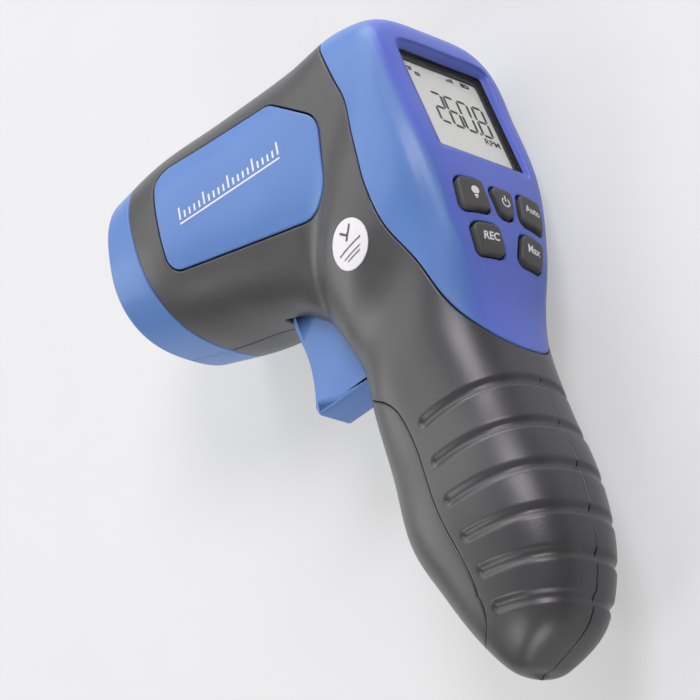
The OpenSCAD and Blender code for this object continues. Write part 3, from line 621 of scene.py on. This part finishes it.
def four_in(depth):
    return lambda p, n: [p - n * depth * f for f in (0.1, 0.3, 0.6, 1)]


link("nose_hood", moulded([(lambda p, n: p[:, 0] + 64, 0.0, 1.6, nose_front),
                           (seam(ring_line, -1), seam_gap, seam_edge, four_in(lip))],
                          (0.0, 1.6), (-1, 1), 0.6), blue_paint, "case", "blue_paint", "nose_ring")

# Optics behind the nose: black plate with its collar, coated glass lens in a black tube,
# sensor can on a small board, and the laser in a brass body.
black_plastic = finish("black_plastic", (0.012, 0.012, 0.012), (0.02, 0.02, 0.02), 0.45, 2200, 0.15)
for name in ("front_plate", "lens_tube"):
    paint(name, black_plastic)


def clear(name, tint, alpha, rough):
    mat, n, links = new_material(name)
    shader = n["Principled BSDF"]
    haze = grain(n, links, 90, 2)
    low = tuple(0.92 * c for c in tint)
    links.new(shades(n, links, haze.outputs["Fac"], low, tint), shader.inputs["Base Color"])
    links.new(spread(n, links, haze.outputs["Fac"], rough, rough + 0.03), shader.inputs["Roughness"])
    shader.inputs["Alpha"].default_value = alpha
    shader.inputs["IOR"].default_value = 1.5
    return mat


paint("receiver_lens", clear("lens_glass", (0.55, 0.72, 0.8), 0.45, 0.02))
plated = finish("plated_steel", (0.5, 0.5, 0.52), (0.62, 0.62, 0.63), 0.28, 1500, 0.08, metal=1.0)
paint("photo_sensor", plated)
brass = finish("brass_body", (0.5, 0.36, 0.12), (0.62, 0.46, 0.18), 0.3, 1600, 0.08, metal=1.0)
paint("laser_module", brass)


# Circuit boards: green laminate with copper runs showing through the lacquer. The sensor board
# stands behind the lens tube, and the main board takes the same finish.
def laminate(name):
    mat, n, links = new_material(name)
    shader = n["Principled BSDF"]
    place = n.new("ShaderNodeTexCoord")
    runs = n.new("ShaderNodeTexBrick")
    runs.inputs["Scale"].default_value = 260
    runs.inputs["Mortar Size"].default_value = 0.06
    runs.inputs["Color1"].default_value = (0.012, 0.085, 0.03, 1)
    runs.inputs["Color2"].default_value = (0.016, 0.1, 0.036, 1)
    runs.inputs["Mortar"].default_value = (0.05, 0.2, 0.07, 1)
    links.new(place.outputs["Object"], runs.inputs["Vector"])
    links.new(runs.outputs["Color"], shader.inputs["Base Color"])
    cloud_tex = grain(n, links, 300, 2)
    links.new(spread(n, links, cloud_tex.outputs["Fac"], 0.25, 0.4), shader.inputs["Roughness"])
    return mat


board_green = laminate("board_laminate")
paint("sensor_board", board_green)

# Side plates: thin blue painted plates glued flush into pockets of both halves,
# with a row of white printed scale strokes on each.
for name, node, side in (("side_plate_left", "label_left", 1), ("side_plate_right", "label_right", -1)):
    span = (0, 1) if side > 0 else (-1, 0)
    link(name, moulded([(seam(label_line, -1), 0.2, 0.4, inward(1.0))], (0.9, 6.3), span, 0.6),
         blue_paint, "case", "blue_paint", node)


def printed(name, low, high):
    return finish(name, low, high, 0.5, 2000, 0.05)


white_print = printed("white_print", (0.78, 0.78, 0.78), (0.84, 0.84, 0.84))


def on_side(xy, side):
    table = form[::4, ::4]
    seen = np.argwhere(table[..., 2] * side > 3)
    flat = table[seen[:, 0], seen[:, 1], :2]
    k = np.array([((flat - q) ** 2).sum(1).argmin() for q in xy])
    s, v = row_s[::4][seen[k, 0]], col_v[::4][seen[k, 1]]
    for step in range(8):
        p = skin(s, v)[0]
        ps, pv = (skin(s + 1e-3, v)[0] - p) * 1e3, (skin(s, v + 1e-3)[0] - p) * 1e3
        d = xy - p[:, :2]
        det = ps[:, 0] * pv[:, 1] - ps[:, 1] * pv[:, 0]
        s = s + np.clip((d[:, 0] * pv[:, 1] - d[:, 1] * pv[:, 0]) / det, -0.1, 0.1)
        v = v + np.clip((ps[:, 0] * d[:, 1] - ps[:, 1] * d[:, 0]) / det, -0.03, 0.03)
    return skin(s, v)


def strokes(boxes, turn_by, origin):
    pts, faces = [], []
    c, s = math.cos(turn_by), math.sin(turn_by)
    for x0, y0, x1, y1 in boxes:
        nx, ny = 1 + int((x1 - x0) / 0.9), 1 + int((y1 - y0) / 0.9)
        k = len(pts)
        for x in np.linspace(x0, x1, nx + 1):
            for y in np.linspace(y0, y1, ny + 1):
                pts.append((origin[0] + c * x - s * y, origin[1] + s * x + c * y))
        for i in range(nx):
            for j in range(ny):
                a = k + i * (ny + 1) + j
                faces.append((a, a + ny + 1, a + ny + 2, a + 1))
    return np.array(pts), faces


def side_print(name, pts, faces, side, lift, mat, slot):
    p, n = on_side(pts, side)
    link(name, built(name, p + n * lift, faces), mat, "case", slot)


stroke_step, stroke_w, scale_start = 1.75, 0.6, (-34, -3.0)
boxes = []
for k in range(21):
    tall = 3.6 if k % 5 == 0 else 2.0
    boxes.append((k * stroke_step, 0, k * stroke_step + stroke_w, tall))
boxes.append((0, -1.3, 35.6, -0.8))
for side, name in ((1, "scale_left"), (-1, "scale_right")):
    pts, faces = strokes(boxes, math.radians(2), scale_start)
    if side < 0:
        pts[:, 0] = scale_start[0] - pts[:, 0]
    side_print(name, pts, faces, side, 0.04, white_print, "paper")

# Inspection sticker: a round of white paper stuck on the left half below the barrel,
# printed in dark grey with a tick over three ruled lines.
sticker_xy, sticker_r = at(6.74, 0.43)[0], 6.3
sticker_paper = printed("sticker_paper", (0.84, 0.84, 0.84), (0.88, 0.88, 0.88))


def in_sticker(p, n):
    return sticker_r - np.linalg.norm(p[:, :2] - sticker_xy, axis=1)


link("round_sticker",
     moulded([(in_sticker, 0.0, 0.12, inward(0.3))], (5.7, 7.8), (0.2, 0.95), 0.45, lift=0.27),
     sticker_paper, "case", "paper", "check_sticker")
grey_ink = printed("grey_ink", (0.05, 0.05, 0.05), (0.07, 0.07, 0.07))
rules_turn, tick_down, tick_up = (math.radians(a) for a in (12, -35, 58))
all_pts, all_faces = [], []
for boxes, turn_by, origin in (
        ([(-4.2, -0.9, 4.2, -0.6)], rules_turn, sticker_xy),
        ([(-2.2, 0, 0.35, 0.55)], tick_down, sticker_xy + (-0.4, 2.2)),
        ([(0, 0, 4.2, 0.55)], tick_up, sticker_xy + (-0.2, 0.75)),
        ([(-3.2, -2.6, 3.2, -2.35), (-2.4, -3.6, 2.4, -3.35)], rules_turn, sticker_xy)):
    pts, faces = strokes(boxes, turn_by, origin)
    start = sum(len(x) for x in all_pts)
    all_pts.append(pts)
    all_faces += [[start + i for i in f] for f in faces]
side_print("sticker_print", np.vstack(all_pts), all_faces, 1, 0.36, grey_ink, "paper")

# Rear bezel: blue painted moulding over the back of the head, with a bevelled opening for
# the display and five openings for the keys. The blue carries painted shade: it turns a deeper
# indigo where the surface faces square out of the face, and near the face plane down the opening walls.
key_edges = {"lamp": [(-13.4, -39.4), (-5.3, -39.4), (-6.4, -31), (-14, -31)],
             "power": [(-1.8, -39.5), (1.8, -39.5), (3.7, -31.6), (-3.7, -31.6)],
             "record": [(-10.2, -50.3), (-2.4, -50.3), (-4.1, -42.9), (-11.9, -42.9)]}
key_edges["auto"] = [(-x, y) for x, y in key_edges["lamp"]][::-1]
key_edges["max"] = [(-x, y) for x, y in key_edges["record"]][::-1]


def on_face(p):
    d = p[:, :2] - face_mid
    return np.c_[-p[:, 2], d @ face_up, d @ face_out]


def off_face(q):
    xy = face_mid + q[:, 1:2] * face_up + q[:, 2:3] * face_out
    return np.c_[xy, -q[:, 0]]


def pulled(outline, r):
    p = np.array(outline, float)
    u = p - np.roll(p, 1, 0)
    u /= np.linalg.norm(u, axis=1, keepdims=True)
    v = np.roll(u, -1, 0)
    m, n = np.c_[-u[:, 1], u[:, 0]], np.c_[-v[:, 1], v[:, 0]]
    return p + r * (m + n) / (1 + (m * n).sum(1, keepdims=True))


def opening(outline, r, more, side=1):
    inner = pulled(outline, r)
    behind, far_off = -14, 40

    def far(p, n):
        q = on_face(p)
        d = to_outline(q[:, :2], inner)[0] - r - more
        return np.where(q[:, 2] < behind, far_off * side, side * d)
    return far


view_y, view_half_w, view_half_h, view_corner, view_bevel, view_sink = -4.2, 16, 18.2, 2.5, 1.7, 1.52
bevel_line = [(-view_half_w, view_y - view_half_h), (view_half_w, view_y - view_half_h),
              (view_half_w, view_y + view_half_h), (-view_half_w, view_y + view_half_h)]


def bevel(p, n):
    q = on_face(p)
    d, m = to_outline(q[:, :2], pulled(bevel_line, view_corner))
    low = q[:, :2] - m * view_bevel
    return [off_face(np.c_[q[:, :2] - m * 0.3, q[:, 2] - 0.35]),
            off_face(np.c_[low, np.full(len(q), 0.12 - view_sink)]),
            off_face(np.c_[low, np.full(len(q), -view_sink)])]


def down_face(depth):
    def turn_in(p, n):
        q = on_face(p)
        return [off_face(q - (0, 0, depth * f)) for f in (0.2, 0.6, 1)]
    return turn_in


def three_in(depth):
    return lambda p, n: [p - n * depth * f for f in (0.2, 0.6, 1)]


key_corner, key_room = 1.6, 0.7
bezel_keep = [(seam(bezel_line, -1), seam_gap, 0.5, three_in(2.4)),
              (opening(bevel_line, view_corner, 0), 0.0, 0.5, bevel)]
for edge in key_edges.values():
    bezel_keep.append((opening(edge, key_corner, key_room), 0.0, 0.35, down_face(2.6)))
bezel_paint_painted_shade = finish("bezel_paint_painted_shade", blue_low, blue_high, 0.5, 3200, 0.1, coat=0.35, gloss=0.22)
bezel_shade_tree = bezel_paint_painted_shade.node_tree


def along_face(socket, low, high):
    ahead = bezel_shade_tree.nodes.new("ShaderNodeVectorMath")
    ahead.operation = "DOT_PRODUCT"
    ahead.inputs[1].default_value = (*face_out, 0)
    bezel_shade_tree.links.new(bezel_shade_tree.nodes["place"].outputs[socket], ahead.inputs[0])
    span = bezel_shade_tree.nodes.new("ShaderNodeMapRange")
    span.inputs["From Min"].default_value = low
    span.inputs["From Max"].default_value = high
    bezel_shade_tree.links.new(ahead.outputs["Value"], span.inputs["Value"])
    return span


# painted shade: the blue darkens to indigo where the surface turns to face square out of the face,
# standing in for the face lying in shade
facing_shade = along_face("Normal", 0.6, 0.93)
facing_shade.interpolation_type = "SMOOTHSTEP"
face_ahead = (face_mid + shift[:2]) @ face_out / 1000
# painted shade: within 2.2 to 3.2 mm of the face plane the blue also turns indigo, so the walls of the
# display and key openings carry painted shade
shade_fade_depth, shade_full_depth = 0.0032, 0.0022
near_face_shade = along_face("Object", face_ahead - shade_fade_depth, face_ahead - shade_full_depth)
# the indigo of the painted shade, mixed over the paint's own blue
painted_shade_tone = bezel_shade_tree.nodes.new("ShaderNodeMix")
painted_shade_tone.data_type = "RGBA"
painted_shade_tone.inputs["B"].default_value = (0.112, 0.17, 0.62, 1)
painted_shade_share = worked(bezel_shade_tree, "MAXIMUM", facing_shade.outputs["Result"], near_face_shade.outputs["Result"])
bezel_shade_tree.links.new(painted_shade_share, painted_shade_tone.inputs["Factor"])
shaded_base_colour = bezel_shade_tree.nodes["Principled BSDF"].inputs["Base Color"]
bezel_shade_tree.links.new(shaded_base_colour.links[0].from_socket, painted_shade_tone.inputs["A"])
bezel_shade_tree.links.new(painted_shade_tone.outputs["Result"], shaded_base_colour)
link("display_bezel", moulded(bezel_keep, (2.9, 10.2), (-0.62, 0.62), 0.5), bezel_paint_painted_shade,
     "case", "blue_paint", "rear_bezel")

# Display: a clear window glued under the bevel, a black frame, the grey-green display glass
# with dark seven-segment figures, and the white backlight behind it.
paint("display_window", clear("window_plastic", (0.5, 0.52, 0.52), 0.04, 0.03))
paint("lcd_frame", black_plastic)
paint("lcd_panel", finish("display_glass", (0.78, 0.81, 0.74), (0.83, 0.86, 0.78), 0.4, 900, 0.02,
                          gloss=0.2))
paint("lcd_backlight", finish("backlight_white", (0.7, 0.7, 0.7), (0.78, 0.78, 0.78), 0.5, 900, 0.05))
segment_ink = printed("segment_ink", (0.012, 0.013, 0.012), (0.02, 0.02, 0.02))
panel_z, ink_lift, segment_gap = -3.0, 0.03, 0.18


def segment(x0, y0, x1, y1, w):
    d = np.array([x1 - x0, y1 - y0], float)
    l = np.linalg.norm(d)
    u, v = d / l, np.array([-d[1], d[0]]) / l
    a, b = np.array([x0, y0]) + u * segment_gap, np.array([x1, y1]) - u * segment_gap
    h = w / 2
    return [a, a + u * h + v * h, b - u * h + v * h, b, b - u * h - v * h, a + u * h - v * h]


figure_w, figure_h, slant, figure_y, segment_w = 3.4, 10.0, 0.02, -8.5, 0.88
half_h = figure_h / 2
lit = {"2": "abged", "6": "acdefg", "0": "abcdef", "8": "abcdefg"}
shapes = []
ends = {"a": (0, 2, 1, 2), "b": (1, 2, 1, 1), "c": (1, 1, 1, 0), "d": (0, 0, 1, 0), "e": (0, 1, 0, 0),
        "f": (0, 2, 0, 1), "g": (0, 1, 1, 1)}
for digit, x in (("2", -6.9), ("6", -2.4), ("0", 2.1), ("8", 7.4)):
    for name in lit[digit]:
        a, b, c, d = ends[name]
        pts = segment(x + a * figure_w, figure_y + b * half_h,
                      x + c * figure_w, figure_y + d * half_h, segment_w)
        shapes.append([(px + slant * (py - figure_y), py) for px, py in pts])
shapes.append([(6.1, -8.9), (6.9, -8.9), (6.9, -8.1), (6.1, -8.1)])
# small signs along the top edge: two dashes, a box, rising bars and a battery cell
grow = 0.12
signs = [(-11.8, 8.2, 1.9, 0.35), (-11.4, 7.4, 1.1, 0.35), (-9.3, 7.0, 1.5, 0.3), (-9.3, 6.2, 1.5, 0.3),
         (-9.3, 6.5, 0.3, 0.5), (-8.1, 6.5, 0.3, 0.5), (2.2, 8.4, 0.5, 0.5), (3.1, 8.4, 0.5, 0.9),
         (4.0, 8.4, 0.5, 1.3), (7.4, 8.4, 2.6, 0.3), (7.4, 9.4, 2.6, 0.3), (7.4, 8.7, 0.3, 0.7),
         (9.7, 8.7, 0.3, 0.7), (10.0, 8.85, 0.35, 0.4), (7.95, 8.85, 0.9, 0.4)]
for x, y, w, h in signs:
    shapes.append([(x - grow, y - grow), (x + w + grow, y - grow), (x + w + grow, y + h + grow),
                   (x - grow, y + h + grow)])


def joined(shape_list):
    pts, faces = [], []
    for shape in shape_list:
        faces.append(list(range(len(pts), len(pts) + len(shape))))
        pts += list(shape)
    return np.array(pts, float), faces


def glass_print(name, pts, faces):
    q = np.c_[pts, np.full(len(pts), panel_z + ink_lift)]
    link(name, built(name, off_face(q), faces), segment_ink, "case", "black_plastic")


glass_print("display_figures", *joined(shapes))


def lettering(text, size, bold):
    data = bpy.data.curves.new("lettering", "FONT")
    data.body = text
    data.size = size
    data.offset = bold
    data.align_x = "CENTER"
    data.align_y = "CENTER"
    data.resolution_u = 4
    obj = bpy.data.objects.new("lettering", data)
    scene.collection.objects.link(obj)
    mesh = bpy.data.meshes.new_from_object(obj.evaluated_get(bpy.context.evaluated_depsgraph_get()))
    bpy.data.objects.remove(obj)
    pts = np.array([v.co[:2] for v in mesh.vertices])
    faces = [list(f.vertices) for f in mesh.polygons]
    bpy.data.meshes.remove(mesh)
    return pts, faces


pts, faces = lettering("RPM", 2.9, 0.07)
glass_print("display_unit", pts + (9.4, -10.8), faces)

# Main board behind the display: green laminate with black chips on its back,
# held to the bezel's posts by four small plated screws.
paint("main_board", board_green)
paint("board_chips", finish("chip_black", (0.015, 0.015, 0.016), (0.028, 0.028, 0.03), 0.5, 1500, 0.2))
paint("board_screws", plated)

# Keypad: dark grey silicone rubber, a mat on the board and five key tops that stand a
# millimetre out of the bezel, with white printed legends.
key_rubber = finish("key_rubber", (0.07, 0.07, 0.065), (0.088, 0.088, 0.082), 0.55, 2400, 0.2, gloss=0.4)
paint("keypad_mat", key_rubber)


def arc(r, centre_y, start, end, count):
    turns = np.linspace(math.radians(start), math.radians(end), count)
    return np.c_[r * np.cos(turns), centre_y + r * np.sin(turns)]


outer, inner = arc(1.25, -0.2, 125, 415, 26), arc(0.88, -0.2, 125, 415, 26)
power_sign = [[outer[k], outer[k + 1], inner[k + 1], inner[k]] for k in range(len(outer) - 1)]
power_sign.append([(-0.19, -0.1), (0.19, -0.1), (0.19, 1.5), (-0.19, 1.5)])
lamp_sign = [arc(1.05, 0.35, -55, 235, 20), [(-0.5, -1.35), (0.5, -1.35), (0.5, -0.75), (-0.5, -0.75)],
             [(-0.3, -1.7), (0.3, -1.7), (0.3, -1.45), (-0.3, -1.45)]]
legends = {"lamp": joined(lamp_sign), "power": joined(power_sign), "record": lettering("REC", 2.7, 0.08),
           "auto": lettering("Auto", 2.7, 0.07), "max": lettering("Max", 2.7, 0.07)}
key_proud, sign_scale, legend_lift = 1.1, 1.1, 0.05
face_rows, face_cols = (row_s > 5) & (row_s < 10.5), np.abs(col_v) < 0.55
face_pts, face_n = (table[face_rows][:, face_cols].reshape(-1, 3) for table in (form, form_out))
face_q = on_face(face_pts + face_n * key_proud)


def bowl(x, y):
    return np.stack([x ** i * y ** j for i in range(4) for j in range(4 - i)], 1)


for key, edge in key_edges.items():
    body = "key_%s_top" % key
    key_keep = [(opening(edge, key_corner, 0.0, -1), 0.0, 0.7, down_face(4.2))]
    top = moulded(key_keep, (6.3, 9.4), (-0.6, 0.6), 0.42, lift=key_proud)
    link("rubber_key_" + key, top, key_rubber, body, "key_rubber", "key_" + key)
    pts, faces = legends[key]
    centre = np.mean(edge, axis=0)
    pts = pts * (sign_scale if key in ("lamp", "power") else 1)
    x, y, z = (face_q[np.linalg.norm(face_q[:, :2] - centre, axis=1) < 6] - (*centre, 0)).T
    fit = np.linalg.lstsq(bowl(x, y), z, rcond=None)[0]
    z = bowl(pts[:, 0], pts[:, 1]) @ fit + legend_lift
    legend = built("legend", off_face(np.c_[pts + centre, z]), faces)
    link("legend_" + key, legend, white_print, body, "paper")

# Trigger: blue painted lever with rounded edges that swings on a steel pin through both halves.
# A coil of steel wire behind it presses it out and shortens as it is pulled, and the lever
# works a small black switch.
edge = np.array([
    (-20.3, -34), (-18.7, -39), (-16.9, -44.6), (-16.1, -50), (-16.2, -55.7), (-16.8, -59.2),
    (-15.7, -61.6), (-6, -61), (5.6, -60), (3.2, -55.5), (3.2, -48), (1, -44), (-4, -37),
    (-9.3, -30.4), (-9.6, -26.8), (-11.6, -24.9), (-14.4, -24.9), (-16.4, -26.8), (-18.8, -30.5)])
soft = [0, 1, 2, 3, 4, 13, 14, 15, 16, 17, 18]
hard_corner = 0.7
outline = []
for k, b in enumerate(edge):
    a, c = edge[k - 1], edge[(k + 1) % len(edge)]
    if k in soft:
        start, end, count = (a + b) / 2, (b + c) / 2, 7
    else:
        start = b + (a - b) / np.linalg.norm(a - b) * hard_corner
        end = b + (c - b) / np.linalg.norm(c - b) * hard_corner
        count = 5
    for t in np.linspace(0, 1, count):
        p = (1 - t) ** 2 * start + 2 * t * (1 - t) * b + t ** 2 * end
        if not outline or np.linalg.norm(p - outline[-1]) > 0.05:
            outline.append(p)
outline = np.array(outline)
way = np.roll(outline, -1, 0) - np.roll(outline, 1, 0)
way /= np.linalg.norm(way, axis=1, keepdims=True)
into = np.c_[-way[:, 1], way[:, 0]]
pts, faces = [], []
profile = [(1.1, 5.5), (0.55, 5.38), (0.18, 5.05), (0.0, 4.5), (0.0, 2.2), (0.0, 0),
           (0.0, -2.2), (0.0, -4.5), (0.18, -5.05), (0.55, -5.38), (1.1, -5.5)]
n = len(outline)
for inset, z in profile:
    pts.append(np.c_[outline + into * inset, np.full(n, z)])
for i in range(len(profile) - 1):
    for k in range(n):
        b = (k + 1) % n
        faces.append((i * n + k, i * n + b, (i + 1) * n + b, (i + 1) * n + k))
faces.append(list(range(n))[::-1])
faces.append([(len(profile) - 1) * n + k for k in range(n)])
mesh = built("trigger", np.vstack(pts), faces)
bm = bmesh.new()
bm.from_mesh(mesh)
bmesh.ops.recalc_face_normals(bm, faces=bm.faces)
bmesh.ops.triangulate(bm, faces=[f for f in bm.faces if len(f.verts) > 4])
bm.to_mesh(mesh)
bm.free()
link("trigger_lever_blade", mesh, blue_paint, "trigger_lever", "blue_paint", "trigger")
paint("trigger_pin", plated)
coil_low, coil_high = (np.array(c) * 1000 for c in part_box("trigger_spring"))
coil_mid = (coil_low + coil_high) / 2
wire_r = 0.35
coil_r = (coil_high[1] - coil_low[1]) / 2 - wire_r
coil_start, coil_len = coil_low[0] + wire_r, coil_high[0] - coil_low[0] - 2 * wire_r
pts, faces = [], []
steps, wire_sides, coil_turns = 200, 10, 5
for i in range(steps + 1):
    a = 2 * math.pi * coil_turns * i / steps
    for k in range(wire_sides):
        b = 2 * math.pi * k / wire_sides
        r = coil_r + wire_r * math.cos(b)
        pts.append((coil_start + coil_len * i / steps + wire_r * math.sin(b),
                    coil_mid[1] + r * math.cos(a), coil_mid[2] + r * math.sin(a)))
for i in range(steps):
    for k in range(wire_sides):
        a, b = i * wire_sides + k, i * wire_sides + (k + 1) % wire_sides
        faces.append((a, b, b + wire_sides, a + wire_sides))
faces += [list(range(wire_sides)), list(range(steps * wire_sides, (steps + 1) * wire_sides))[::-1]]
mesh = bpy.data.meshes.new("coil")
mesh.from_pydata((np.array(pts) / 1000).tolist(), [], faces)
coil = link("trigger_coil", mesh, plated, "case", "steel", "trigger_spring")
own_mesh(coil)
paint("trigger_switch", black_plastic)

# Battery: a nine-volt block in a dark sleeve, in a grey moulded tray, under a black
# snap-on connector.
paint("battery_tray", finish("tray_plastic", (0.035, 0.035, 0.036), (0.048, 0.048, 0.05), 0.5, 2200, 0.2))
paint("battery", finish("battery_jacket", (0.02, 0.02, 0.022), (0.035, 0.035, 0.04), 0.35, 1200, 0.05,
                        coat=0.2))
paint("battery_snap", black_plastic)


# Battery door: grey moulded front of the grip, swinging on a knuckle with two stubs
# at its lower end.
def lathe(rows, centre, sides=40):
    pts, faces = [], []
    for r, z in rows:
        for k in range(sides):
            a = 2 * math.pi * k / sides
            pts.append((centre[0] + r * math.cos(a), centre[1] + r * math.sin(a), z))
    for i in range(len(rows) - 1):
        for k in range(sides):
            b = (k + 1) % sides
            faces.append((i * sides + k, i * sides + b, (i + 1) * sides + b, (i + 1) * sides + k))
    faces.append(list(range(sides))[::-1])
    faces.append([(len(rows) - 1) * sides + k for k in range(sides)])
    return pts, faces


knuckle = lathe([(0.9, -8.5), (1.2, -8.2), (1.2, -6), (2.5, -6), (2.8, -5.7), (2.8, 5.7), (2.5, 6),
                 (1.2, 6), (1.2, 8.2), (0.9, 8.5)], hinge)
side_way = np.array([-hinge_out[1], hinge_out[0]])
arm_pts = []
for z in (-6, 6):
    for d, w in ((0, 1.5), (0, -1.5), (4.6, -1.1), (4.6, 1.1)):
        arm_pts.append((*(hinge + d * hinge_out + w * side_way), z))
arm_faces = [(0, 1, 2, 3), (7, 6, 5, 4), (0, 4, 5, 1), (1, 5, 6, 2), (2, 6, 7, 3), (3, 7, 4, 0)]
door_keep = [(lambda p, n: -off_door(p, n), 0.0, seam_edge, inward(lip))]
link("door_panel",
     moulded(door_keep, (7.6, 13.8), (0.5, 1.5), 0.6, extra=(knuckle, (arm_pts, arm_faces))),
     case_plastic, "door", "case_plastic", "battery_door")
